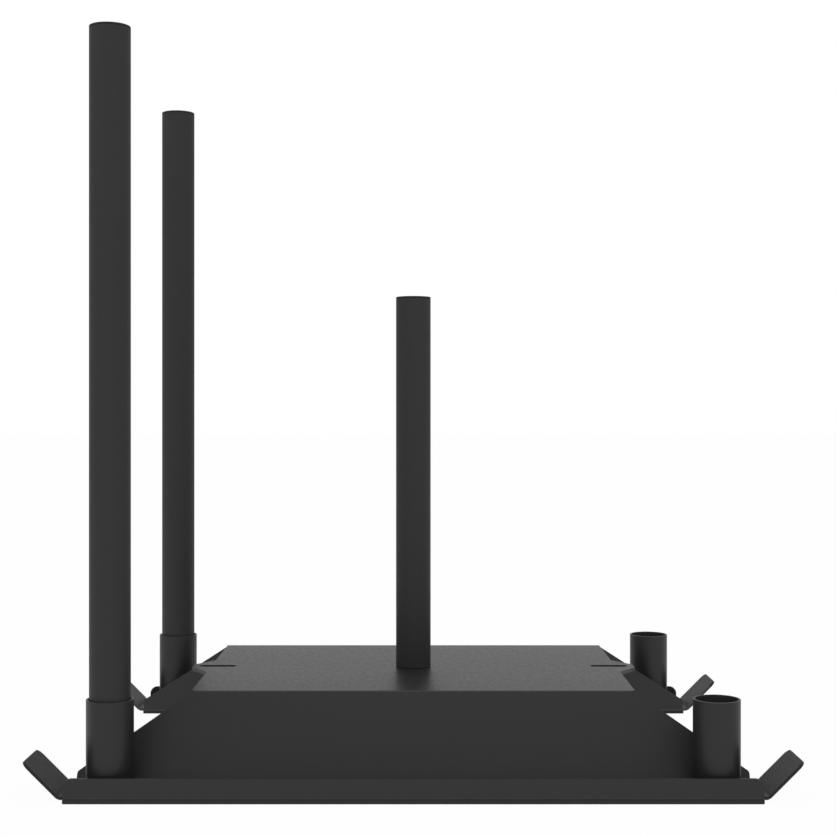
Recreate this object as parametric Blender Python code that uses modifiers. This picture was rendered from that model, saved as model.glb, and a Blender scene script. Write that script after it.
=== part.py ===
"""Weight sled: a low steel body on two runners, with pole sleeves, push poles and a post for weight plates.

Metres, +Z up. The origin is on the ground under the middle of the sled. The push poles stand at the rear
end, -X, and the front sleeves, +X, are empty. Left, +Y, and right, -Y, are as the person pushing sees them.
"""

import math

import bmesh
import bpy
from mathutils import Matrix, Vector

# Clearances, how far a cutter passes the faces it cuts, and how close points are welded
SEAT_GAP = 0.0003
POLE_CLEARANCE = 0.0009
SCREW_CLEARANCE = 0.0003
CUTTER_OVERSHOOT = 0.002
MERGE_DISTANCE = 0.00001

# Deck plate
DECK_LENGTH = 0.584
DECK_WIDTH = 0.395
DECK_THICKNESS = 0.005
DECK_HEIGHT = 0.1194
DECK_EDGE_RADIUS = 0.0015

# Tow tongue at each end of the deck
TONGUE_REACH = 0.026
TONGUE_ROOT_WIDTH = 0.102
TONGUE_TIP_WIDTH = 0.026
TONGUE_CORNER_RADIUS = 0.007
SLOT_LENGTH = 0.050
SLOT_WIDTH = 0.012
SLOT_TIP_DISTANCE = 0.012

# Side panels
SIDE_THICKNESS = 0.004
SIDE_LEAN = math.radians(26.1)
SIDE_TOP_INSET = 0.0040
SIDE_FOOT_REACH = 0.1400
SIDE_END_HEIGHT = 0.0242
SIDE_CORNER_RADIUS = 0.006

# Runners
RUNNER_THICKNESS = 0.004
RUNNER_END_MARGIN = 0.0020
FLANGE_HEIGHT = 0.0271
FLANGE_CORNER_RADIUS = 0.012
FLANGE_BEND_RADIUS = 0.0035
TOE_LENGTH = 0.0628
TOE_ANGLE = math.radians(45)
TOE_BEND_RADIUS = 0.0096
TOE_RELIEF = 0.0012
TOE_CORNER_RADIUS = 0.004

# Skid strips
SKID_THICKNESS = 0.0061
SKID_INNER_INSET = 0.0085
SKID_OUTER_INSET = 0.0035
SKID_OVERHANG = 0.0012
SKID_EDGE_RADIUS = 0.0015

# Screws that hold the skid strips
SCREW_COUNT = 4
SCREW_END_DISTANCE = 0.1352
SCREW_DIAMETER = 0.008
SCREW_HEAD_DIAMETER = 0.0155
SCREW_HEAD_RECESS = 0.0008
SCREW_END_LENGTH = 0.002
NUT_WIDTH = 0.013
NUT_HEIGHT = 0.0065

# Pole sleeves
SLEEVE_DIAMETER = 0.0597
SLEEVE_LENGTH = 0.1138
SLEEVE_END_DISTANCE = 0.0513
SLEEVE_SIDE_CLEARANCE = 0.0006
SLEEVE_FLANGE_CLEARANCE = 0.0056
SLEEVE_RIM_RADIUS = 0.0007

# Push poles and weight post
POLE_DIAMETER = 0.052
POLE_WALL = 0.003
TUBE_RIM_BREAK = 0.0003
POLE_LENGTH = 0.9622
POST_DIAMETER = 0.050
POST_WALL = 0.003
POST_LENGTH = 0.5328

# Plugs in the ends of the poles and of the post
PLUG_HEAD_HEIGHT = 0.003
PLUG_CROWN = 0.0005
PLUG_EDGE_RADIUS = 0.0008
PLUG_SHANK_LENGTH = 0.020
PLUG_WALL = 0.002
PLUG_CROWN_STEPS = 3

# Facets
ROUND_STEPS = 40
SCREW_STEPS = 16
CORNER_STEPS = 5
SHARP_ANGLE = math.radians(30)

# Heights worked out from the sizes above
web_bottom = SKID_THICKNESS + SEAT_GAP
web_top = web_bottom + RUNNER_THICKNESS
web_middle = web_bottom + RUNNER_THICKNESS / 2
flange_top = web_bottom + FLANGE_HEIGHT
web_seat = web_top + SEAT_GAP
deck_underside = DECK_HEIGHT - DECK_THICKNESS
side_top = deck_underside - SEAT_GAP

# Stations along the sled, from its middle
deck_end = DECK_LENGTH / 2
tongue_tip = deck_end + TONGUE_REACH
side_end = deck_end + SIDE_FOOT_REACH
flange_end = side_end + RUNNER_END_MARGIN
skid_end = flange_end + SKID_OVERHANG
sleeve_x = flange_end - SLEEVE_END_DISTANCE


def side_face(height):
    """Distance from the middle plane to a side panel's outer face, at a height."""
    return DECK_WIDTH / 2 + (DECK_HEIGHT - height) * math.tan(SIDE_LEAN)


# Stations across the sled, from its middle plane
side_level_thickness = SIDE_THICKNESS / math.cos(SIDE_LEAN)
runner_inner = side_face(web_seat) - side_level_thickness
sleeve_y = side_face(web_seat) + SLEEVE_SIDE_CLEARANCE + SLEEVE_DIAMETER / 2
runner_outer = sleeve_y + SLEEVE_DIAMETER / 2 + SLEEVE_FLANGE_CLEARANCE + RUNNER_THICKNESS
skid_inner = runner_inner + SKID_INNER_INSET
skid_outer = runner_outer - SKID_OUTER_INSET
screw_y = (skid_inner + skid_outer) / 2

SIDES = {"left": 1, "right": -1}
ENDS = {"rear": -1, "front": 1}


def clear_scene():
    for item in list(bpy.data.objects):
        bpy.data.objects.remove(item, do_unlink=True)


def new_collection(name):
    collection = bpy.data.collections.new(name)
    bpy.context.scene.collection.children.link(collection)
    return collection


def new_material(name, grey, roughness, metallic=0.0):
    material = bpy.data.materials.new(name)
    material.use_nodes = True
    shader = material.node_tree.nodes["Principled BSDF"]
    shader.inputs["Base Color"].default_value = (grey, grey, grey, 1)
    shader.inputs["Roughness"].default_value = roughness
    shader.inputs["Metallic"].default_value = metallic
    return material


def new_object(name, mesh, material=None, parent=None, location=(0, 0, 0)):
    """Put a mesh into the sled's collection as a named piece."""
    item = bpy.data.objects.new(name, mesh)
    if material:
        mesh.materials.append(material)
    parts.objects.link(item)
    item.parent = parent
    item.location = location
    return item


def new_cutter(name, mesh, location=(0, 0, 0)):
    """Put a mesh into the cutters' collection, where it shows as wire and is left out of renders."""
    item = bpy.data.objects.new(name, mesh)
    cutters.objects.link(item)
    item.location = location
    item.hide_render = True
    item.display_type = "WIRE"
    return item


def cut(item, cutter):
    boolean = item.modifiers.new(cutter.name, "BOOLEAN")
    boolean.operation = "DIFFERENCE"
    boolean.solver = "EXACT"
    boolean.object = cutter


def finish_mesh(mesh_data, mesh_name):
    """Turn a bmesh into a mesh with outward faces, smooth where it is round."""
    mesh_data.normal_update()
    bmesh.ops.recalc_face_normals(mesh_data, faces=mesh_data.faces)
    mesh = bpy.data.meshes.new(mesh_name)
    mesh_data.to_mesh(mesh)
    mesh_data.free()
    mesh.shade_smooth()
    mesh.set_sharp_from_angle(angle=SHARP_ANGLE)
    return mesh


def fillet(before, corner, after, radius):
    """Points of the arc that rounds a corner between two straight stretches."""
    to_before = (before - corner).normalized()
    to_after = (after - corner).normalized()
    half_angle = to_before.angle(to_after) / 2
    setback = radius / math.tan(half_angle)
    centre = corner + (to_before + to_after).normalized() * radius / math.sin(half_angle)
    start = (corner + to_before * setback - centre).normalized()
    end = (corner + to_after * setback - centre).normalized()
    return [centre + radius * start.slerp(end, step / CORNER_STEPS) for step in range(CORNER_STEPS + 1)]


def rounded_outline(corners):
    """Closed outline from (x, y, radius) corners, where radius 0 keeps a corner sharp."""
    outline = []
    for index, (x, y, radius) in enumerate(corners):
        corner = Vector((x, y))
        if not radius:
            outline.append(corner)
            continue
        before = Vector(corners[index - 1][:2])
        after = Vector(corners[(index + 1) % len(corners)][:2])
        outline += fillet(before, corner, after, radius)
    return outline


def circle(radius, steps):
    """Closed round outline about the origin."""
    turns = [2 * math.pi * step / steps for step in range(steps)]
    return [Vector((radius * math.cos(turn), radius * math.sin(turn))) for turn in turns]


def slot_outline(length, width):
    """Closed outline of a slot with round ends, along X."""
    steps = 2 * CORNER_STEPS
    turns = [math.pi * step / steps - math.pi / 2 for step in range(steps + 1)]
    radius = width / 2
    centre = Vector((length / 2 - radius, 0))
    front = [centre + radius * Vector((math.cos(turn), math.sin(turn))) for turn in turns]
    return front + [-point for point in front]


def plate(outlines, thickness):
    """Bmesh of a flat plate in the XY plane, from a filled 2D curve whose inner outlines are holes."""
    curve = bpy.data.curves.new("outline", "CURVE")
    curve.dimensions = "2D"
    curve.fill_mode = "BOTH"
    curve.extrude = thickness / 2
    for outline in outlines:
        spline = curve.splines.new("POLY")
        spline.points.add(len(outline) - 1)
        for point, place in zip(spline.points, outline):
            point.co = (place.x, place.y, 0, 1)
        spline.use_cyclic_u = True
    guide = bpy.data.objects.new("outline", curve)
    parts.objects.link(guide)
    evaluated = guide.evaluated_get(bpy.context.evaluated_depsgraph_get())
    mesh = bpy.data.meshes.new_from_object(evaluated)
    bpy.data.objects.remove(guide, do_unlink=True)
    solid = bmesh.new()
    solid.from_mesh(mesh)
    bpy.data.meshes.remove(mesh)
    bmesh.ops.remove_doubles(solid, verts=solid.verts, dist=MERGE_DISTANCE)
    bmesh.ops.dissolve_limit(solid, angle_limit=math.radians(1), verts=solid.verts, edges=solid.edges)
    return solid


def turned(profile, closed, name, steps=ROUND_STEPS):
    """Mesh turned about Z from (radius, height) points, which run down the outer side."""
    mesh = bpy.data.meshes.new(name)
    last = len(profile) - 1
    edges = [(index, index + 1) for index in range(last)]
    if closed:
        edges.append((last, 0))
    mesh.from_pydata([(radius, 0, height) for radius, height in profile], edges, [])
    turning = bpy.data.objects.new(name, mesh)
    parts.objects.link(turning)
    screw = turning.modifiers.new("turn", "SCREW")
    screw.angle = 2 * math.pi
    screw.steps = steps
    screw.render_steps = steps
    screw.use_merge_vertices = True
    screw.merge_threshold = MERGE_DISTANCE
    evaluated = turning.evaluated_get(bpy.context.evaluated_depsgraph_get())
    solid = bmesh.new()
    solid.from_mesh(evaluated.to_mesh())
    evaluated.to_mesh_clear()
    bpy.data.objects.remove(turning, do_unlink=True)
    bpy.data.meshes.remove(mesh)
    return finish_mesh(solid, name)


def tube(name, diameter, wall, length, rim):
    """Mesh of an upright tube that stands on Z = 0, with its rims broken by a small bevel."""
    outer = diameter / 2
    inner = outer - wall
    profile = [
        (inner + rim, length),
        (outer - rim, length),
        (outer, length - rim),
        (outer, rim),
        (outer - rim, 0),
        (inner + rim, 0),
        (inner, rim),
        (inner, length - rim),
    ]
    return turned(profile, True, name)


def repeated(mesh, places, name):
    """Mesh with one separate copy of a solid at each place."""
    group = bmesh.new()
    for place in places:
        copy = mesh.copy()
        copy.transform(Matrix.Translation(place))
        group.from_mesh(copy)
        bpy.data.meshes.remove(copy)
    return finish_mesh(group, name)


def screw_places(side, height):
    """Centres of one skid strip's screws, spread evenly between the two at its ends."""
    first = SCREW_END_DISTANCE - skid_end
    spacing = -2 * first / (SCREW_COUNT - 1)
    return [Vector((first + spacing * index, side * screw_y, height)) for index in range(SCREW_COUNT)]


def deck_plate():
    """Top plate with a tow tongue at each end, its long edges sloped in line with the side panels."""
    tip = TONGUE_TIP_WIDTH / 2
    root = TONGUE_ROOT_WIDTH / 2
    edge = DECK_WIDTH / 2
    front = [
        (deck_end, -edge, 0),
        (deck_end, -root, 0),
        (tongue_tip, -tip, TONGUE_CORNER_RADIUS),
        (tongue_tip, tip, TONGUE_CORNER_RADIUS),
        (deck_end, root, 0),
        (deck_end, edge, 0),
    ]
    rear = [(-x, -y, radius) for x, y, radius in front]
    solid = plate([rounded_outline(front + rear)], DECK_THICKNESS)
    spread = DECK_THICKNESS * math.tan(SIDE_LEAN)
    top_edges = []
    for vertex in solid.verts:
        if vertex.co.z < 0 and abs(vertex.co.y) > edge - SEAT_GAP:
            vertex.co.y += math.copysign(spread, vertex.co.y)
    for long_edge in solid.edges:
        ends = [vertex.co for vertex in long_edge.verts]
        if all(end.z > 0 and abs(end.y) > edge - SEAT_GAP for end in ends):
            top_edges.append(long_edge)
    bmesh.ops.bevel(solid, geom=top_edges, offset=DECK_EDGE_RADIUS, segments=3, profile=0.5, affect="EDGES")
    deck = new_object("deck_plate", finish_mesh(solid, "deck_plate"), coated_steel, sled)
    deck.location.z = DECK_HEIGHT - DECK_THICKNESS / 2
    for end_name, end in ENDS.items():
        name = "strap_slot_" + end_name
        slot = plate([slot_outline(SLOT_LENGTH, SLOT_WIDTH)], DECK_THICKNESS + 2 * CUTTER_OVERSHOOT)
        slot_middle = tongue_tip - SLOT_TIP_DISTANCE - SLOT_LENGTH / 2
        cut(deck, new_cutter(name, finish_mesh(slot, name), (end * slot_middle, 0, deck.location.z)))


def side_panel(side_name, side):
    """Plate that leans out from the deck to the runner, with sloping ends and a short upright foot."""
    slope_top = deck_end - SIDE_TOP_INSET
    slope_run = side_end - slope_top
    slope_drop = DECK_HEIGHT - SIDE_END_HEIGHT
    top_end = slope_top + (DECK_HEIGHT - side_top) * slope_run / slope_drop
    corners = [
        (-side_end, web_seat, 0),
        (side_end, web_seat, 0),
        (side_end, SIDE_END_HEIGHT, SIDE_CORNER_RADIUS),
        (top_end, side_top, 0),
        (-top_end, side_top, 0),
        (-side_end, SIDE_END_HEIGHT, SIDE_CORNER_RADIUS),
    ]
    solid = plate([rounded_outline(corners)], side_level_thickness)
    for vertex in solid.verts:
        along, height, depth = vertex.co
        across = side_face(height) - side_level_thickness / 2 + depth
        vertex.co = (along, side * across, height)
    name = "side_panel_" + side_name
    new_object(name, finish_mesh(solid, name), coated_steel, sled)


def extrude_edges(sheet, edges, offsets):
    """Extend an open sheet from some of its edges, through a row of offsets."""
    for offset in offsets:
        grown = bmesh.ops.extrude_edge_only(sheet, edges=edges)["geom"]
        verts = [item for item in grown if isinstance(item, bmesh.types.BMVert)]
        edges = [item for item in grown if isinstance(item, bmesh.types.BMEdge)]
        bmesh.ops.translate(sheet, verts=verts, vec=offset)
    return edges


def runner(side_name, side):
    """Bent plate with a level web, an upright outer flange and a toe bent up at each end."""
    half = RUNNER_THICKNESS / 2
    toe_bend = Vector((flange_end + TOE_RELIEF + TOE_BEND_RADIUS * math.tan(TOE_ANGLE / 2), web_middle))
    toe_direction = Vector((math.cos(TOE_ANGLE), math.sin(TOE_ANGLE)))
    toe_tip = toe_bend + toe_direction * TOE_LENGTH
    front_end = fillet(Vector((0, web_middle)), toe_bend, toe_tip, TOE_BEND_RADIUS) + [toe_tip]
    front_end = [Vector((flange_end, web_middle))] + front_end
    path = [Vector((-point.x, point.y)) for point in reversed(front_end)] + front_end

    sheet = bmesh.new()
    verts = [sheet.verts.new((point.x, side * runner_inner, point.y)) for point in path]
    for first, second in zip(verts, verts[1:]):
        sheet.edges.new((first, second))
    bend_start = runner_outer - half - FLANGE_BEND_RADIUS
    web_offset = Vector((0, side * (bend_start - runner_inner), 0))
    outer_edges = extrude_edges(sheet, list(sheet.edges), [web_offset])

    toe_start = flange_end + TOE_RELIEF
    toe_edges = []
    flange_edges = []
    for edge in outer_edges:
        reach = min(abs(vertex.co.x) for vertex in edge.verts)
        if reach > toe_start - SEAT_GAP:
            toe_edges.append(edge)
        elif max(abs(vertex.co.x) for vertex in edge.verts) < flange_end + SEAT_GAP:
            flange_edges.append(edge)
    extrude_edges(sheet, toe_edges, [Vector((0, side * (runner_outer - bend_start), 0))])

    turns = [math.pi / 2 * step / CORNER_STEPS for step in range(CORNER_STEPS + 1)]
    arc = [FLANGE_BEND_RADIUS * Vector((0, side * math.sin(turn), 1 - math.cos(turn))) for turn in turns]
    steps = [after - before for before, after in zip(arc, arc[1:])]
    steps.append(Vector((0, 0, flange_top - web_middle - FLANGE_BEND_RADIUS)))
    extrude_edges(sheet, flange_edges, steps)

    flange_corners = [vertex for vertex in sheet.verts if vertex.co.z > flange_top - SEAT_GAP
                      and abs(abs(vertex.co.x) - flange_end) < SEAT_GAP]
    bmesh.ops.bevel(sheet, geom=flange_corners, offset=FLANGE_CORNER_RADIUS, segments=CORNER_STEPS,
                    profile=0.5, affect="VERTICES")
    toe_corners = [vertex for vertex in sheet.verts if abs(vertex.co.x) > toe_tip.x - SEAT_GAP
                   and len(vertex.link_faces) == 1]
    bmesh.ops.bevel(sheet, geom=toe_corners, offset=TOE_CORNER_RADIUS, segments=3,
                    profile=0.5, affect="VERTICES")

    name = "runner_" + side_name
    bent = new_object(name, finish_mesh(sheet, name), coated_steel, sled)
    solidify = bent.modifiers.new("thickness", "SOLIDIFY")
    solidify.thickness = RUNNER_THICKNESS
    solidify.offset = 0
    solidify.use_even_offset = True
    radius = SCREW_DIAMETER / 2 + SCREW_CLEARANCE
    high = half + CUTTER_OVERSHOOT
    hole = turned([(0, high), (radius, high), (radius, -high), (0, -high)], False, "hole", SCREW_STEPS)
    holes = repeated(hole, screw_places(side, web_middle), "web_holes_" + side_name)
    cut(bent, new_cutter("web_holes_" + side_name, holes))


def screw_profile(clearance, low, high):
    """Countersunk screw, or the hole for it where it has a clearance, from its head's face upwards."""
    shaft = SCREW_DIAMETER / 2 + clearance
    head = SCREW_HEAD_DIAMETER / 2 + clearance
    head_rim = SCREW_HEAD_RECESS + SEAT_GAP
    neck = head_rim + head - shaft
    return [(0, high), (shaft, high), (shaft, neck), (head, head_rim), (head, low), (0, low)]


def skid_strip(side_name, side):
    """Wear strip under the web, with its ground edges rounded and a countersunk hole for each screw."""
    size = Vector((2 * skid_end, skid_outer - skid_inner, SKID_THICKNESS))
    strip = bmesh.new()
    bmesh.ops.create_cube(strip, size=1, matrix=Matrix.Diagonal(size.to_4d()))
    ground_edges = [edge for edge in strip.edges if all(vertex.co.z < 0 for vertex in edge.verts)]
    bmesh.ops.bevel(strip, geom=ground_edges, offset=SKID_EDGE_RADIUS, segments=2, profile=0.5,
                    affect="EDGES")
    name = "skid_strip_" + side_name
    place = (0, side * screw_y, SKID_THICKNESS / 2)
    skid = new_object(name, finish_mesh(strip, name), skid_plastic, sled, place)
    profile = screw_profile(SCREW_CLEARANCE, -CUTTER_OVERSHOOT, SKID_THICKNESS + CUTTER_OVERSHOOT)
    hole = turned(profile, False, "hole", SCREW_STEPS)
    holes = repeated(hole, screw_places(side, 0), "skid_holes_" + side_name)
    cut(skid, new_cutter("skid_holes_" + side_name, holes))


def skid_fasteners(side_name, side):
    """Countersunk screws up through the strip and the web, each with a hexagon nut on the web."""
    nut_seat = web_top + SEAT_GAP
    screw_top = nut_seat + NUT_HEIGHT + SCREW_END_LENGTH
    screw = turned(screw_profile(0, SCREW_HEAD_RECESS, screw_top), False, "skid_screw", SCREW_STEPS)
    hexagon = circle(NUT_WIDTH / 2 / math.cos(math.pi / 6), 6)
    bore = circle(SCREW_DIAMETER / 2 + SCREW_CLEARANCE, SCREW_STEPS)
    nut = finish_mesh(plate([hexagon, bore], NUT_HEIGHT), "skid_nut")
    screw.materials.append(plain_steel)
    nut.materials.append(plain_steel)
    for number, place in enumerate(screw_places(side, 0), 1):
        tag = f"{side_name}_{number}"
        new_object("skid_screw_" + tag, screw, parent=sled, location=place)
        nut_place = place + Vector((0, 0, nut_seat + NUT_HEIGHT / 2))
        new_object("skid_nut_" + tag, nut, parent=sled, location=nut_place)


def sleeve(side_name, side, end_name, end):
    """Tube on the web that a push pole drops into."""
    wall = (SLEEVE_DIAMETER - POLE_DIAMETER) / 2 - POLE_CLEARANCE
    name = "sleeve_" + end_name + "_" + side_name
    mesh = tube(name, SLEEVE_DIAMETER, wall, SLEEVE_LENGTH, SLEEVE_RIM_RADIUS)
    new_object(name, mesh, coated_steel, sled, (end * sleeve_x, side * sleeve_y, web_seat))


def plug(name, diameter, wall, material, parent, height, direction):
    """Plastic plug in a tube's end: a slightly crowned head over the rim and a cup inside the bore."""
    head = diameter / 2
    shank = head - wall - SEAT_GAP
    cup = shank - PLUG_WALL
    crown_radius = head - PLUG_EDGE_RADIUS
    shares = [step / PLUG_CROWN_STEPS for step in range(PLUG_CROWN_STEPS + 1)]
    profile = [(crown_radius * share, PLUG_HEAD_HEIGHT - PLUG_CROWN * share ** 2) for share in shares]
    profile += [
        (head, PLUG_HEAD_HEIGHT - PLUG_CROWN - PLUG_EDGE_RADIUS),
        (head, 0),
        (shank, 0),
        (shank, -PLUG_SHANK_LENGTH),
        (cup, -PLUG_SHANK_LENGTH),
        (cup, 0),
        (0, 0),
    ]
    item = new_object(name, turned(profile, False, name), material, parent, (0, 0, height))
    if direction < 0:
        item.data.transform(Matrix.Rotation(math.pi, 4, "X"))


def push_pole(side_name, side):
    """Pole that stands in a rear sleeve, with its origin at its foot on the sleeve's axis."""
    tube_length = POLE_LENGTH - 2 * (PLUG_HEAD_HEIGHT + SEAT_GAP)
    place = Vector((-sleeve_x, side * sleeve_y, web_seat))
    axis = bpy.data.objects.new("pole_axis_" + side_name, None)
    parts.objects.link(axis)
    axis.parent = sled
    axis.location = place
    foot = PLUG_HEAD_HEIGHT + SEAT_GAP
    name = "push_pole_" + side_name
    mesh = tube(name, POLE_DIAMETER, POLE_WALL, tube_length, TUBE_RIM_BREAK)
    new_object(name, mesh, pole_steel, axis, (0, 0, foot))
    cap_height = foot + tube_length + SEAT_GAP
    plug("pole_cap_" + side_name, POLE_DIAMETER, POLE_WALL, cap_plastic, axis, cap_height, 1)
    plug("pole_foot_" + side_name, POLE_DIAMETER, POLE_WALL, cap_plastic, axis, PLUG_HEAD_HEIGHT, -1)


def weight_post():
    """Post in the middle of the deck that the weight plates drop over."""
    tube_length = POST_LENGTH - PLUG_HEAD_HEIGHT - SEAT_GAP
    seat = DECK_HEIGHT + SEAT_GAP
    mesh = tube("weight_post", POST_DIAMETER, POST_WALL, tube_length, TUBE_RIM_BREAK)
    new_object("weight_post", mesh, pole_steel, sled, (0, 0, seat))
    cap_height = seat + tube_length + SEAT_GAP
    plug("post_cap", POST_DIAMETER, POST_WALL, cap_plastic, sled, cap_height, 1)


clear_scene()
parts = new_collection("weight_sled")
cutters = new_collection("cutters")
coated_steel = new_material("coated_steel", 0.035, 0.55)
pole_steel = new_material("pole_steel", 0.037, 0.5)
skid_plastic = new_material("skid_plastic", 0.025, 0.6)
cap_plastic = new_material("cap_plastic", 0.02, 0.5)
plain_steel = new_material("plain_steel", 0.5, 0.35, 1.0)

sled = bpy.data.objects.new("sled", None)
parts.objects.link(sled)

deck_plate()
weight_post()
for side_name, side in SIDES.items():
    side_panel(side_name, side)
    runner(side_name, side)
    skid_strip(side_name, side)
    skid_fasteners(side_name, side)
    push_pole(side_name, side)
    for end_name, end in ENDS.items():
        sleeve(side_name, side, end_name, end)
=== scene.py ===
"""Looks of the weight sled: materials, fine surfaces, floor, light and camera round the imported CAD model.

Metres, +Z up. +X runs towards the front of the sled and +Y to the left of the person who pushes it.
"""

import math

import bmesh
import bpy
from mathutils import Matrix, Vector


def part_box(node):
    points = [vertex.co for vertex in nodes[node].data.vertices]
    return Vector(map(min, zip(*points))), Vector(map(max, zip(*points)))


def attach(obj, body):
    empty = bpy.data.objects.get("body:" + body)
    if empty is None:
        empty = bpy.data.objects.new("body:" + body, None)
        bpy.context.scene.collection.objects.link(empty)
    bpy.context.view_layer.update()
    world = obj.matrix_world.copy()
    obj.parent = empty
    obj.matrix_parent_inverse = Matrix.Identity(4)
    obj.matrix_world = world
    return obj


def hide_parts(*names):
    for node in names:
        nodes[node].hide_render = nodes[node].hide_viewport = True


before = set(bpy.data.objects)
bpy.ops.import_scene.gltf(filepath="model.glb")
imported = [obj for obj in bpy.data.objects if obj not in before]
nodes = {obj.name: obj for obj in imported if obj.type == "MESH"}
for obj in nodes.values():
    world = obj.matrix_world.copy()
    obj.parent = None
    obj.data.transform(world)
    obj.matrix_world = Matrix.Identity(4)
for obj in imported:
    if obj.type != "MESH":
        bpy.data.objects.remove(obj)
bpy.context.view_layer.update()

SIDES = {"left": 1, "right": -1}
ENDS = {"rear": -1, "front": 1}

# Sizes that the CAD boxes don't hold
DECK_HALF_WIDTH = 0.1975
DECK_HALF_LENGTH = 0.292
SLOPE_TOP = 0.288
SLOPE_FOOT_HEIGHT = 0.0242
SLOPE_CORNER_RADIUS = 0.006
TONGUE_ROOT = 0.051
TONGUE_TIP = 0.013
TONGUE_RADIUS = 0.007
SLOT_INNER = 0.2555
SLOT_OUTER = 0.3085
SLOT_HALF_WIDTH = 0.0067
BEND_RADIUS = 0.0035
INNER_BEND_RADIUS = 0.002
BODY_THICKNESS = 0.005
RUNNER_THICKNESS = 0.004
RUNNER_MARGIN = 0.002
FLANGE_HEIGHT = 0.0263
FLANGE_BEND_RADIUS = 0.002
FLANGE_CORNER_RADIUS = 0.011
TOE_BEND_RADIUS = 0.0096
TOE_RELIEF = 0.0012
TOE_CORNER_RADIUS = 0.0105
SEAT_GAP = 0.0003
SKID_LIFT = 0.9 * SEAT_GAP
TUBE_WALL = 0.003
TUBE_RIM = 0.0004
SLEEVE_WALL = 0.00295
SLEEVE_RIM = 0.0006
CAP_HEIGHT = 0.003
CAP_CROWN = 0.0005
CAP_EDGE = 0.0009
CAP_RIM = 0.0008
CAP_RIM_START = 80
CAP_WALL = 0.002

# How far sharp edges are rounded
SHEET_ROUNDING = 0.00025
SKID_ROUNDING = 0.0002
SCREW_ROUNDING = 0.00014
NUT_ROUNDING = 0.0003

# Angles between faces from which their edge counts as sharp
SHARP_EDGE = math.radians(30)
SHARP_SHEET_EDGE = math.radians(40)
SHARP_TURNED_EDGE = math.radians(50)

# How many steps the curves have
ROUNDING_STEPS = 2
TURNED_STEPS = 128
RIM_STEPS = 4
CROWN_STEPS = 8
CORNER_STEPS = 5
SLOT_END_STEPS = 16
FOLD_STEPS = 8
TOE_BEND_STEPS = 12
FLANGE_BEND_STEPS = 10
RUNNER_CORNER_STEPS = 10

# Tolerances
NEARBY = 0.0004
SAME_POINT = 0.000005
SAME_SHEET_POINT = 0.00002
NO_LENGTH = 0.000001
NO_SHEET_LENGTH = 0.00001
SAME_PLANE = math.radians(0.5)
BEND_MARGIN = 0.001

# How far a face's normal has to lie along an axis
FACES_AXIS = 0.7
FACES_UP = 0.8
FACES_SIDEWAYS = 0.5

# Parts of a noise's range
NOISE_MIDDLE = (0.3, 0.7)
NOISE_TOP = (0.62, 0.72)

# Depths of the surfaces' relief
PORE_DEPTH = 0.00006
ORANGE_PEEL_DEPTH = 0.00015
PLASTIC_GRAIN_DEPTH = 0.00004
ZINC_GRAIN_DEPTH = 0.00002

# Floor: its glow near the sled and far behind it, and how much of it the camera sees
FLOOR_SIZE = 60
FLOOR_GREY = 0.8
GLOW_PLACES = (0.2, 1.6)
GLOW_LEVELS = (0.77, 0.3)
GLOW_SEEN = 0.97

# Studio light, which is strongest where it comes from
LIGHT_DIRECTION = (0, -0.7, 0.7)
LIGHT_FACING = (-0.4, 1)
LIGHT_LEVELS = (0.52, 1.03)

# Camera as solved from the photograph, with the picture's sizes in its pixels
PHOTO_SIZE = 836
FOCAL_LENGTH = 1534.05
HORIZON = 411.65
MIDDLE = 413.36
CAMERA_DISTANCE = 2.2163
CAMERA_HEIGHT = 0.4866
SENSOR_WIDTH = 36


def new_material(name):
    material = bpy.data.materials.new(name)
    material.use_nodes = True
    tree = material.node_tree
    return material, tree, tree.nodes["Principled BSDF"]


def noise(tree, scale, detail, roughness=0.5, stretch=None):
    """Noise over the piece's own coordinates, which are the sled's, in metres."""
    coordinates = tree.nodes.new("ShaderNodeTexCoord")
    texture = tree.nodes.new("ShaderNodeTexNoise")
    texture.inputs["Scale"].default_value = scale
    texture.inputs["Detail"].default_value = detail
    texture.inputs["Roughness"].default_value = roughness
    source = coordinates.outputs["Object"]
    if stretch:
        mapping = tree.nodes.new("ShaderNodeMapping")
        mapping.inputs["Scale"].default_value = stretch
        tree.links.new(source, mapping.inputs["Vector"])
        source = mapping.outputs["Vector"]
    tree.links.new(source, texture.inputs["Vector"])
    return texture.outputs["Fac"]


def map_range(tree, source, source_range, result_range, interpolation="LINEAR"):
    """Number that runs through one range while its source runs through another."""
    node = tree.nodes.new("ShaderNodeMapRange")
    node.interpolation_type = interpolation
    node.inputs["From Min"].default_value, node.inputs["From Max"].default_value = source_range
    node.inputs["To Min"].default_value, node.inputs["To Max"].default_value = result_range
    tree.links.new(source, node.inputs["Value"])
    return node.outputs["Result"]


def ramp(tree, source, low, high):
    """Number that runs from low to high over the middle of a noise's range."""
    return map_range(tree, source, NOISE_MIDDLE, (low, high))


def for_camera(tree, seen, otherwise):
    """Fixed number for the camera's own rays, and another output's for the rest."""
    light_path = tree.nodes.new("ShaderNodeLightPath")
    choice = tree.nodes.new("ShaderNodeMix")
    factor, first, second = choice.inputs[0], choice.inputs[2], choice.inputs[3]
    second.default_value = seen
    tree.links.new(light_path.outputs["Is Camera Ray"], factor)
    tree.links.new(otherwise, first)
    return choice.outputs[0]


def set_grey(tree, shader, tone):
    colour = tree.nodes.new("ShaderNodeCombineColor")
    for channel in ("Red", "Green", "Blue"):
        tree.links.new(tone, colour.inputs[channel])
    tree.links.new(colour.outputs["Color"], shader.inputs["Base Color"])


def set_roughness(tree, shader, source, middle, sheen):
    """Roughness that differs by the sheen on both sides of its middle value."""
    tree.links.new(ramp(tree, source, middle - sheen, middle + sheen), shader.inputs["Roughness"])


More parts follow.
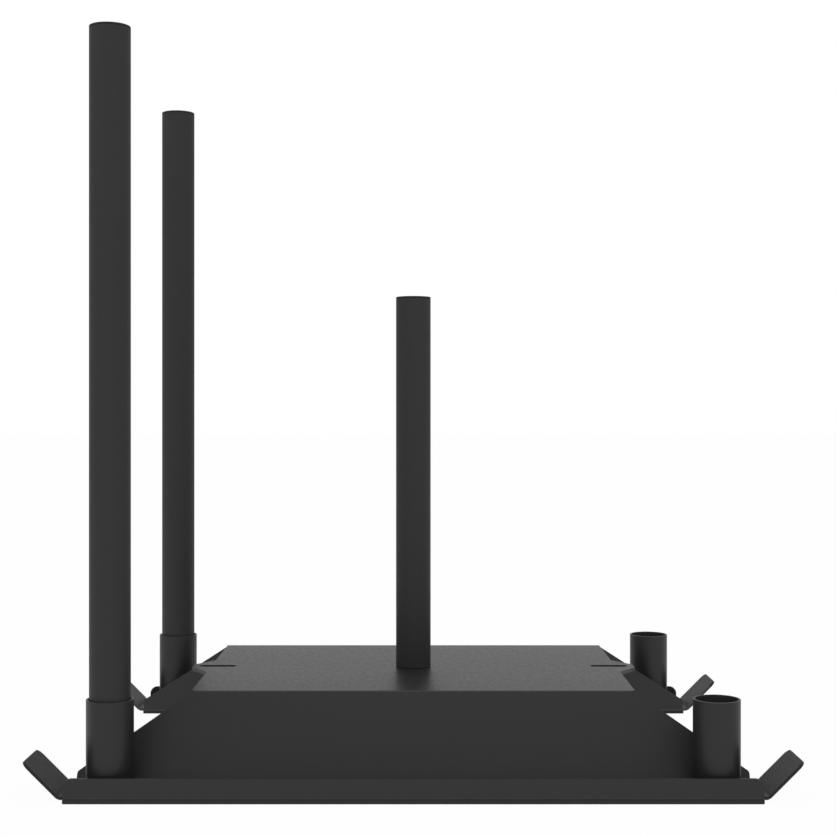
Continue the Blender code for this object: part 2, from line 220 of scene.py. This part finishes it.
def bump(tree, shader, layers):
    """Chain of bumps, each from a height output, a distance in metres and a strength."""
    normal = None
    for height, distance, strength in layers:
        node = tree.nodes.new("ShaderNodeBump")
        node.inputs["Distance"].default_value = distance
        node.inputs["Strength"].default_value = strength
        tree.links.new(height, node.inputs["Height"])
        if normal:
            tree.links.new(normal, node.inputs["Normal"])
        normal = node.outputs["Normal"]
    tree.links.new(normal, shader.inputs["Normal"])


def speckled(tree, tone, speckle, stretch):
    """Tone with small paler dots, where a noise comes near the top of its range."""
    dots = map_range(tree, noise(tree, scale=330, detail=1, stretch=stretch), NOISE_TOP, (0, speckle))
    added = tree.nodes.new("ShaderNodeMath")
    added.operation = "ADD"
    tree.links.new(tone, added.inputs[0])
    tree.links.new(dots, added.inputs[1])
    return added.outputs["Value"]


def powder_coat(name, grey, roughness, specular, mottle=0.04, grain=0.2, speckle=0, stretch=None,
                cloud_scale=60, sheen=0.03):
    """Dark powder coat: a fine orange-peel grain, soft mottling and slight differences of sheen."""
    material, tree, shader = new_material(name)
    shader.inputs["Specular IOR Level"].default_value = specular
    cloud = noise(tree, scale=cloud_scale, detail=3, roughness=0.6, stretch=stretch)
    fine = noise(tree, scale=420, detail=2, roughness=0.6, stretch=stretch)
    pores = noise(tree, scale=1300, detail=2, roughness=0.55)
    tone = ramp(tree, fine, grey * (1 - mottle), grey * (1 + mottle))
    set_grey(tree, shader, speckled(tree, tone, speckle, stretch) if speckle else tone)
    set_roughness(tree, shader, cloud, roughness, sheen)
    bump(tree, shader, [(pores, PORE_DEPTH, grain), (fine, ORANGE_PEEL_DEPTH, grain)])
    return material


def moulded_plastic(name, grey):
    """Dull plastic with a fine grain and streaks along the sled."""
    material, tree, shader = new_material(name)
    shader.inputs["Specular IOR Level"].default_value = 0.3
    grain = noise(tree, scale=1800, detail=2)
    streaks = noise(tree, scale=40, detail=3, stretch=(1, 14, 14))
    set_grey(tree, shader, ramp(tree, streaks, low=grey * 0.9, high=grey * 1.12))
    set_roughness(tree, shader, grain, middle=0.6, sheen=0.05)
    bump(tree, shader, [(grain, PLASTIC_GRAIN_DEPTH, 0.5)])
    return material


def zinc(name):
    material, tree, shader = new_material(name)
    shader.inputs["Metallic"].default_value = 1
    cloud = noise(tree, scale=500, detail=4)
    set_grey(tree, shader, ramp(tree, cloud, low=0.42, high=0.56))
    set_roughness(tree, shader, cloud, middle=0.375, sheen=0.075)
    bump(tree, shader, [(noise(tree, scale=2500, detail=1), ZINC_GRAIN_DEPTH, 0.4)])
    return material


deck_coat = powder_coat("deck_coat", grey=0.0115, roughness=0.355, specular=0.78, mottle=0.15, grain=0.5,
                        speckle=0.014, stretch=(1.2, 0.4, 1), cloud_scale=150, sheen=0.045)
# Painted shade: a darker copy of the coat for the sheets' cut edges, which read darker than the faces beside
# them.
edge_painted_shade = powder_coat("edge_painted_shade", grey=0.0145, roughness=0.45, specular=0.195)
# Painted highlight: a paler, glossier copy of the coat for the runner web's inner cut edge, in place of the
# light caught on its rounded corner.
rim_painted_highlight = powder_coat("rim_painted_highlight", grey=0.032, roughness=0.45, specular=0.38)
plate_coat = powder_coat("plate_coat", grey=0.0215, roughness=0.4, specular=0.255)
# Painted shade: the plate coat made darker for the side panels, which read darker than the flanges under the
# same light.
panel_painted_shade = powder_coat("panel_painted_shade", grey=0.0194, roughness=0.4, specular=0.255)
tube_coat = powder_coat("tube_coat", grey=0.0285, roughness=0.53, specular=0.16, mottle=0.03)
# Painted shade: the tube coat with less base colour and more gloss, so that the sleeves' sides come out
# darker beside the panels.
sleeve_painted_shade = powder_coat("sleeve_painted_shade", grey=0.0152, roughness=0.42, specular=0.32, mottle=0.03)
# Painted shade: a darker, duller copy of the coat for the tubes' bores, in place of the shade inside them.
bore_painted_shade = powder_coat("bore_painted_shade", grey=0.018, roughness=0.6, specular=0.15, mottle=0.03)
# Painted shade: a near-black copy of the coat for the slot walls, in place of the shade inside the narrow
# slots.
slot_painted_shade = powder_coat("slot_painted_shade", grey=0.007, roughness=0.7, specular=0.08, mottle=0.03)
skid_plastic = moulded_plastic("skid_plastic", grey=0.015)
cap_plastic = moulded_plastic("cap_plastic", grey=0.012)
plain_steel = zinc("plain_steel")


def new_piece(name, mesh, materials, body, replaced, location=(0, 0, 0)):
    piece = bpy.data.objects.new(name, mesh)
    bpy.context.scene.collection.objects.link(piece)
    piece.location = location
    mesh.materials.clear()
    for material in materials:
        mesh.materials.append(material)
    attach(piece, body)
    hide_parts(*replaced)
    return piece


def finished_mesh(solid, name):
    mesh = bpy.data.meshes.new(name)
    solid.to_mesh(mesh)
    solid.free()
    return mesh


def soften(piece, width, angle):
    """Round a piece's sharp edges slightly, and shade what lies between them smooth."""
    bevel = piece.modifiers.new("edges", "BEVEL")
    bevel.width = width
    bevel.segments = ROUNDING_STEPS
    bevel.limit_method = "ANGLE"
    bevel.angle_limit = angle
    bevel.harden_normals = True
    for polygon in piece.data.polygons:
        polygon.use_smooth = True


def refined(node, material, rounding, lift=0):
    """Copy of a CAD node with its flat faces whole again, its edges rounded and its top face lifted."""
    solid = bmesh.new()
    solid.from_mesh(nodes[node].data)
    bmesh.ops.remove_doubles(solid, verts=solid.verts, dist=SAME_POINT)
    bmesh.ops.dissolve_limit(solid, angle_limit=SAME_PLANE, verts=solid.verts, edges=solid.edges)
    mesh = finished_mesh(solid, node + "_fine")
    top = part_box(node)[1].z
    for vertex in mesh.vertices:
        if vertex.co.z > top - NEARBY:
            vertex.co.z += lift
    piece = new_piece(node + "_fine", mesh, [material], "sled", [node])
    soften(piece, rounding, SHARP_EDGE)


def lathe(profile):
    """Mesh turned about Z from a closed row of (radius, height) points."""
    solid = bmesh.new()
    verts = [solid.verts.new((radius, 0, height)) for radius, height in profile]
    edges = [solid.edges.new((first, second)) for first, second in zip(verts, verts[1:] + verts[:1])]
    bmesh.ops.spin(solid, geom=verts + edges, axis=(0, 0, 1), cent=(0, 0, 0), angle=2 * math.pi,
                   steps=TURNED_STEPS)
    bmesh.ops.remove_doubles(solid, verts=solid.verts, dist=SAME_POINT)
    bmesh.ops.dissolve_degenerate(solid, edges=solid.edges, dist=NO_LENGTH)
    solid.normal_update()
    bmesh.ops.recalc_face_normals(solid, faces=solid.faces)
    mesh = finished_mesh(solid, "turned")
    mesh.shade_smooth()
    mesh.set_sharp_from_angle(angle=SHARP_TURNED_EDGE)
    return mesh


def arc(centre_radius, centre_height, radius, start, end):
    """Profile points on an arc, with its angles in degrees from outwards."""
    turns = [math.radians(start + (end - start) * step / RIM_STEPS) for step in range(RIM_STEPS + 1)]
    return [(centre_radius + radius * math.cos(turn), centre_height + radius * math.sin(turn))
            for turn in turns]


def tube_profile(outer, inner, low, high, rim):
    """Closed profile of a tube whose rims are rounded."""
    return (arc(outer - rim, low + rim, rim, -90, 0) + arc(outer - rim, high - rim, rim, 0, 90)
            + arc(inner + rim, high - rim, rim, 90, 180) + arc(inner + rim, low + rim, rim, 180, 270))


def upright(node, wall, rim, outside, rim_face, body):
    """Fine tube in place of a CAD tube, with materials for its outside and its upper rim; its bore takes the
    darker bore copy of the coat as painted shade.
    """
    low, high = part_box(node)
    outer = (high.x - low.x) / 2
    mesh = lathe(tube_profile(outer, outer - wall, 0, high.z - low.z, rim))
    place = ((low.x + high.x) / 2, (low.y + high.y) / 2, low.z)
    new_piece(node + "_fine", mesh, [outside, rim_face, bore_painted_shade], body, [node], place)
    rim_index, bore_shade_index = 1, 2
    for polygon in mesh.polygons:
        if polygon.normal.z > FACES_AXIS:
            polygon.material_index = rim_index
        elif polygon.center.xy.dot(polygon.normal.xy) < 0:
            polygon.material_index = bore_shade_index


def cap(node, body, direction):
    """Crowned lid of a plug with its shank in the tube."""
    low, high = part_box(node)
    outer = (high.x - low.x) / 2
    shank = outer - TUBE_WALL - SEAT_GAP
    shank_end = CAP_HEIGHT - (high.z - low.z)
    crown_radius = outer - CAP_EDGE
    shares = [step / CROWN_STEPS for step in range(CROWN_STEPS + 1)]
    profile = [(crown_radius * share, CAP_HEIGHT - CAP_CROWN * share ** 2) for share in shares]
    profile += arc(outer - CAP_RIM, CAP_HEIGHT - CAP_CROWN - CAP_RIM, CAP_RIM, CAP_RIM_START, 0)
    profile += [
        (outer, 0),
        (shank, 0),
        (shank, shank_end),
        (shank - CAP_WALL, shank_end),
        (shank - CAP_WALL, 0),
        (0, 0),
    ]
    mesh = lathe(profile)
    middle = ((low.x + high.x) / 2, (low.y + high.y) / 2)
    if direction > 0:
        place = (*middle, high.z - CAP_HEIGHT)
    else:
        mesh.transform(Matrix.Rotation(math.pi, 4, "X"))
        place = (*middle, low.z + CAP_HEIGHT)
    new_piece(node + "_fine", mesh, [cap_plastic], body, [node], place)


def round_corner(before, corner, after, radius, steps=CORNER_STEPS):
    to_before = (before - corner).normalized()
    to_after = (after - corner).normalized()
    half_angle = to_before.angle(to_after) / 2
    centre = corner + (to_before + to_after).normalized() * radius / math.sin(half_angle)
    start = (corner + to_before * radius / math.tan(half_angle) - centre).normalized()
    end = (corner + to_after * radius / math.tan(half_angle) - centre).normalized()
    return [centre + radius * start.slerp(end, step / steps) for step in range(steps + 1)]


def outline(corners):
    """Points of a closed outline from its (x, y, radius) corners."""
    points = []
    for index, (x, y, radius) in enumerate(corners):
        corner = Vector((x, y))
        if radius:
            before = Vector(corners[index - 1][:2])
            after = Vector(corners[(index + 1) % len(corners)][:2])
            points += round_corner(before, corner, after, radius)
        else:
            points.append(corner)
    return points


def slot_outline(end_sign):
    """Slot with round ends in one of the tongues."""
    turns = [math.pi * step / SLOT_END_STEPS - math.pi / 2 for step in range(SLOT_END_STEPS + 1)]
    centre = Vector((SLOT_OUTER - SLOT_HALF_WIDTH, 0))
    far = [centre + SLOT_HALF_WIDTH * Vector((math.cos(turn), math.sin(turn))) for turn in turns]
    near = [Vector((SLOT_OUTER + SLOT_INNER - point.x, -point.y)) for point in far]
    return [Vector((end_sign * point.x, point.y)) for point in far + near]


def filled(outlines):
    """Flat open sheet inside the first outline and outside the others."""
    curve = bpy.data.curves.new("blank", "CURVE")
    curve.dimensions = "2D"
    curve.fill_mode = "BOTH"
    for points in outlines:
        spline = curve.splines.new("POLY")
        spline.points.add(len(points) - 1)
        for target, point in zip(spline.points, points):
            target.co = (point.x, point.y, 0, 1)
        spline.use_cyclic_u = True
    guide = bpy.data.objects.new("blank", curve)
    bpy.context.scene.collection.objects.link(guide)
    flat = bpy.data.meshes.new_from_object(guide.evaluated_get(bpy.context.evaluated_depsgraph_get()))
    bpy.data.objects.remove(guide, do_unlink=True)
    sheet = bmesh.new()
    sheet.from_mesh(flat)
    bpy.data.meshes.remove(flat)
    bmesh.ops.remove_doubles(sheet, verts=sheet.verts, dist=SAME_POINT)
    return sheet


def fold(sheet, top, turn):
    """Bend a flat sheet down along the deck's long edges, in place.

    Returns the (y, z) at which the inner side of each bend belongs, by the number of the vertex outside it.
    """
    setback = BEND_RADIUS * math.tan(turn / 2)
    bend_start = DECK_HALF_WIDTH - setback
    for side in SIDES.values():
        for step in range(FOLD_STEPS + 1):
            across = side * (bend_start + 2 * setback * step / FOLD_STEPS)
            everything = sheet.verts[:] + sheet.edges[:] + sheet.faces[:]
            bmesh.ops.bisect_plane(sheet, geom=everything, dist=NO_LENGTH, plane_co=(0, across, 0),
                                   plane_no=(0, 1, 0))
    inner_reach = BODY_THICKNESS - BEND_RADIUS + INNER_BEND_RADIUS
    inner_centre = Vector((bend_start - inner_reach * math.tan(turn / 2), top - BEND_RADIUS - inner_reach))
    inner_places = {}
    for index, vertex in enumerate(sheet.verts):
        side = math.copysign(1, vertex.co.y)
        across = abs(vertex.co.y)
        share = (across - bend_start) / (2 * setback)
        angle = turn * share
        if -BEND_MARGIN < share < 1 + BEND_MARGIN:
            place = inner_centre + INNER_BEND_RADIUS * Vector((math.sin(angle), math.cos(angle)))
            inner_places[index] = (side * place.x, place.y)
        if share <= 0:
            vertex.co.z = top
        elif share >= 1:
            down_panel = across - DECK_HALF_WIDTH
            vertex.co.y = side * (DECK_HALF_WIDTH + down_panel * math.cos(turn))
            vertex.co.z = top - down_panel * math.sin(turn)
        else:
            vertex.co.y = side * (bend_start + BEND_RADIUS * math.sin(angle))
            vertex.co.z = top - BEND_RADIUS * (1 - math.cos(angle))
    return inner_places


def thicken(piece, thickness, offset, rim_material=0):
    """Give a sheet its thickness as mesh, so that single faces of it can take a material."""
    solidify = piece.modifiers.new("thickness", "SOLIDIFY")
    solidify.thickness = thickness
    solidify.offset = offset
    solidify.material_offset_rim = rim_material
    solidify.use_even_offset = True
    depsgraph = bpy.context.evaluated_depsgraph_get()
    piece.data = bpy.data.meshes.new_from_object(piece.evaluated_get(depsgraph))
    piece.modifiers.clear()


def rejoin(mesh):
    """Merge a thickened sheet's coincident points, and its faces that lie in one plane."""
    solid = bmesh.new()
    solid.from_mesh(mesh)
    bmesh.ops.remove_doubles(solid, verts=solid.verts, dist=SAME_SHEET_POINT)
    bmesh.ops.dissolve_degenerate(solid, edges=solid.edges, dist=NO_SHEET_LENGTH)
    bmesh.ops.dissolve_limit(solid, angle_limit=SAME_PLANE, verts=solid.verts, edges=solid.edges,
                             delimit={"MATERIAL"})
    solid.to_mesh(mesh)
    solid.free()


def body_sheet():
    """Deck and side panels as one skin: a flat blank with its slots, folded along the deck's long edges."""
    deck_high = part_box("deck_plate")[1]
    top = deck_high.z
    side_low, side_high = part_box("side_panel_left")
    lean = math.atan((side_high.y - DECK_HALF_WIDTH) / (top - side_low.z))
    turn = math.pi / 2 - lean

    def unfolded(height):
        return DECK_HALF_WIDTH + (top - height) / math.cos(lean)

    # On one of the fold's steps, so that no narrow face is left beside it
    notch = DECK_HALF_WIDTH - BEND_RADIUS * math.tan(turn / 2) / 2
    quarter = [
        (deck_high.x, TONGUE_TIP, TONGUE_RADIUS),
        (DECK_HALF_LENGTH, TONGUE_ROOT, 0),
        (DECK_HALF_LENGTH, notch, 0),
        (SLOPE_TOP, notch, 0),
        (side_high.x, unfolded(SLOPE_FOOT_HEIGHT), SLOPE_CORNER_RADIUS),
        (side_high.x, unfolded(side_low.z), 0),
    ]
    corners = quarter + [(-x, y, radius) for x, y, radius in reversed(quarter)]
    corners += [(-x, -y, radius) for x, y, radius in corners]
    sheet = filled([outline(corners)] + [slot_outline(end_sign) for end_sign in ENDS.values()])
    inner_places = fold(sheet, top, turn)
    sheet.normal_update()
    bmesh.ops.recalc_face_normals(sheet, faces=sheet.faces)
    if sum(face.normal.z for face in sheet.faces) < 0:
        bmesh.ops.reverse_faces(sheet, faces=sheet.faces)
    mesh = finished_mesh(sheet, "body_sheet")
    piece = new_piece("body_sheet", mesh, [deck_coat, panel_painted_shade, edge_painted_shade], "sled",
                      ["deck_plate", "side_panel_left", "side_panel_right"])
    deck_index, panel_shade_index, edge_shade_index, slot_shade_index = range(4)
    # Painted shade: faces that don't face up take the darker panel copy of the coat.
    for polygon in mesh.polygons:
        polygon.material_index = deck_index if polygon.normal.z > FACES_UP else panel_shade_index
    blank_size = len(mesh.vertices)
    # Solidify counts a rim's material from its face's own and stops at the last one. That is the edge copy
    # of the coat, painted shade for the cut edges, here, because the slots' painted shade is added
    # afterwards.
    thicken(piece, BODY_THICKNESS, offset=-1, rim_material=edge_shade_index)
    for index, place in inner_places.items():
        piece.data.vertices[index + blank_size].co.yz = place
    rejoin(piece.data)
    piece.data.materials.append(slot_painted_shade)
    # Painted shade: the slots' walls take the near-black slot copy of the coat.
    for polygon in piece.data.polygons:
        in_length = SLOT_INNER - NEARBY < abs(polygon.center.x) < SLOT_OUTER + NEARBY
        in_width = abs(polygon.center.y) < SLOT_HALF_WIDTH + NEARBY
        if in_length and in_width and abs(polygon.normal.z) < FACES_SIDEWAYS:
            polygon.material_index = slot_shade_index
    soften(piece, SHEET_ROUNDING, SHARP_SHEET_EDGE)


def extrude_edges(sheet, edges, offsets):
    """Extend an open sheet from some of its edges, through a row of offsets."""
    for offset in offsets:
        grown = bmesh.ops.extrude_edge_only(sheet, edges=edges)["geom"]
        verts = [item for item in grown if isinstance(item, bmesh.types.BMVert)]
        edges = [item for item in grown if isinstance(item, bmesh.types.BMEdge)]
        bmesh.ops.translate(sheet, verts=verts, vec=offset)
    return edges


def runner_sheet(side_name, side):
    """Runner as one bent sheet: level web, upright outer flange, and a toe bent up at each end."""
    low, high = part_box("runner_left")
    half = RUNNER_THICKNESS / 2
    middle = low.z + half
    flange_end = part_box("side_panel_left")[1].x + RUNNER_MARGIN
    slant = half * math.sin(math.pi / 4)
    toe_tip = Vector((high.x - slant, high.z - slant))
    toe_bend = Vector((toe_tip.x - toe_tip.y + middle, middle))
    bend = round_corner(Vector((0, middle)), toe_bend, toe_tip, TOE_BEND_RADIUS, TOE_BEND_STEPS)
    front_end = [Vector((flange_end, middle))] + bend + [toe_tip]
    path = [Vector((-point.x, point.y)) for point in reversed(front_end)] + front_end

    sheet = bmesh.new()
    verts = [sheet.verts.new((point.x, side * low.y, point.y)) for point in path]
    for first, second in zip(verts, verts[1:]):
        sheet.edges.new((first, second))
    flange_start = high.y - half - FLANGE_BEND_RADIUS
    outer_edges = extrude_edges(sheet, list(sheet.edges), [Vector((0, side * (flange_start - low.y), 0))])
    toe_start = flange_end + TOE_RELIEF / 2

    def reach(edge):
        return [abs(vertex.co.x) for vertex in edge.verts]

    toe_edges = [edge for edge in outer_edges if min(reach(edge)) > toe_start]
    extrude_edges(sheet, toe_edges, [Vector((0, side * (high.y - flange_start), 0))])
    flange_edges = [edge for edge in outer_edges if max(reach(edge)) < toe_start]
    turns = [math.pi / 2 * step / FLANGE_BEND_STEPS for step in range(FLANGE_BEND_STEPS + 1)]
    curve = [FLANGE_BEND_RADIUS * Vector((0, side * math.sin(turn), 1 - math.cos(turn))) for turn in turns]
    steps = [after - before for before, after in zip(curve, curve[1:])]
    steps.append(Vector((0, 0, FLANGE_HEIGHT - half - FLANGE_BEND_RADIUS)))
    extrude_edges(sheet, flange_edges, steps)
    bmesh.ops.dissolve_edges(sheet, edges=toe_edges, use_verts=True)

    def in_flange(place):
        return place.z > low.z + FLANGE_HEIGHT / 2 and abs(place.x) < toe_start

    def in_toe_tip(place):
        return abs(place.x) > toe_tip.x - NEARBY

    for radius, belongs in ((FLANGE_CORNER_RADIUS, in_flange), (TOE_CORNER_RADIUS, in_toe_tip)):
        chosen = [vertex for vertex in sheet.verts if len(vertex.link_faces) == 1 and belongs(vertex.co)]
        bmesh.ops.bevel(sheet, geom=chosen, offset=radius, segments=RUNNER_CORNER_STEPS, profile=0.5,
                        affect="VERTICES")
    bmesh.ops.recalc_face_normals(sheet, faces=sheet.faces)
    name = "runner_" + side_name
    mesh = finished_mesh(sheet, name + "_fine")
    piece = new_piece(name + "_fine", mesh, [plate_coat, rim_painted_highlight, edge_painted_shade], "sled", [name])
    thicken(piece, RUNNER_THICKNESS, offset=0)
    rejoin(piece.data)
    # Painted shade: the toes' cut edges take the darker edge copy of the coat.
    rim_index, edge_shade_index = 1, 2
    # Painted highlight: the web's inner cut edge takes the paler rim copy of the coat.
    for polygon in piece.data.polygons:
        if abs(polygon.normal.y) > FACES_AXIS and abs(polygon.center.x) > toe_start:
            polygon.material_index = edge_shade_index
        elif polygon.normal.y * side < -FACES_AXIS and abs(polygon.center.y) < low.y + NEARBY:
            polygon.material_index = rim_index
    soften(piece, SHEET_ROUNDING, SHARP_SHEET_EDGE)


body_sheet()
for side_name, side in SIDES.items():
    runner_sheet(side_name, side)
    refined("skid_strip_" + side_name, skid_plastic, SKID_ROUNDING, SKID_LIFT)
    pole = "push_pole_" + side_name
    upright(pole, TUBE_WALL, TUBE_RIM, tube_coat, tube_coat, pole)
    cap("pole_cap_" + side_name, pole, 1)
    cap("pole_foot_" + side_name, pole, -1)
    for end_name in ENDS:
        sleeve = "sleeve_" + end_name + "_" + side_name
        # Painted highlight: the sleeves' upper rims take the deck's glossier coat.
        upright(sleeve, SLEEVE_WALL, SLEEVE_RIM, sleeve_painted_shade, deck_coat, "sled")
upright("weight_post", TUBE_WALL, TUBE_RIM, tube_coat, tube_coat, "sled")
cap("post_cap", "sled", 1)

for name in nodes:
    if name.startswith("skid_screw"):
        refined(name, plain_steel, SCREW_ROUNDING)
    elif name.startswith("skid_nut"):
        refined(name, plain_steel, NUT_ROUNDING)


def backdrop():
    """Pale floor that keeps a soft shadow under the sled, and runs into the white background."""
    bpy.ops.mesh.primitive_plane_add(size=FLOOR_SIZE)
    floor = bpy.context.object
    floor.name = "floor"
    material, tree, shader = new_material("floor")
    shader.inputs["Base Color"].default_value = (FLOOR_GREY, FLOOR_GREY, FLOOR_GREY, 1)
    shader.inputs["Roughness"].default_value = 1
    shader.inputs["Specular IOR Level"].default_value = 0
    white = tree.nodes.new("ShaderNodeEmission")
    white.inputs["Strength"].default_value = 1
    coordinates = tree.nodes.new("ShaderNodeTexCoord")
    place = tree.nodes.new("ShaderNodeSeparateXYZ")
    tree.links.new(coordinates.outputs["Object"], place.inputs["Vector"])
    glow = map_range(tree, place.outputs["Y"], GLOW_PLACES, GLOW_LEVELS, "SMOOTHSTEP")
    mix = tree.nodes.new("ShaderNodeMixShader")
    tree.links.new(for_camera(tree, seen=GLOW_SEEN, otherwise=glow), mix.inputs["Fac"])
    tree.links.new(shader.outputs["BSDF"], mix.inputs[1])
    tree.links.new(white.outputs["Emission"], mix.inputs[2])
    tree.links.new(mix.outputs["Shader"], tree.nodes["Material Output"].inputs["Surface"])
    floor.data.materials.append(material)


def studio_world():
    """Soft light all round, strongest from above the camera, and plain white to the camera itself."""
    world = bpy.data.worlds.new("studio")
    bpy.context.scene.world = world
    world.use_nodes = True
    tree = world.node_tree
    background = tree.nodes["Background"]
    background.inputs["Color"].default_value = (1, 1, 1, 1)
    coordinates = tree.nodes.new("ShaderNodeTexCoord")
    facing = tree.nodes.new("ShaderNodeVectorMath")
    facing.operation = "DOT_PRODUCT"
    facing.inputs[1].default_value = LIGHT_DIRECTION
    tree.links.new(coordinates.outputs["Generated"], facing.inputs[0])
    level = map_range(tree, facing.outputs["Value"], LIGHT_FACING, LIGHT_LEVELS, "SMOOTHSTEP")
    tree.links.new(for_camera(tree, seen=1, otherwise=level), background.inputs["Strength"])


def camera():
    data = bpy.data.cameras.new("camera")
    data.sensor_width = SENSOR_WIDTH
    data.lens = SENSOR_WIDTH * FOCAL_LENGTH / PHOTO_SIZE
    data.shift_x = (PHOTO_SIZE / 2 - MIDDLE) / PHOTO_SIZE
    data.shift_y = (HORIZON - PHOTO_SIZE / 2) / PHOTO_SIZE
    item = bpy.data.objects.new("camera", data)
    bpy.context.scene.collection.objects.link(item)
    item.location = (0, -CAMERA_DISTANCE, CAMERA_HEIGHT)
    item.rotation_euler = (math.pi / 2, 0, 0)
    bpy.context.scene.camera = item


backdrop()
studio_world()
camera()
bpy.context.scene.view_settings.view_transform = "Standard"

bpy.context.view_layer.update()
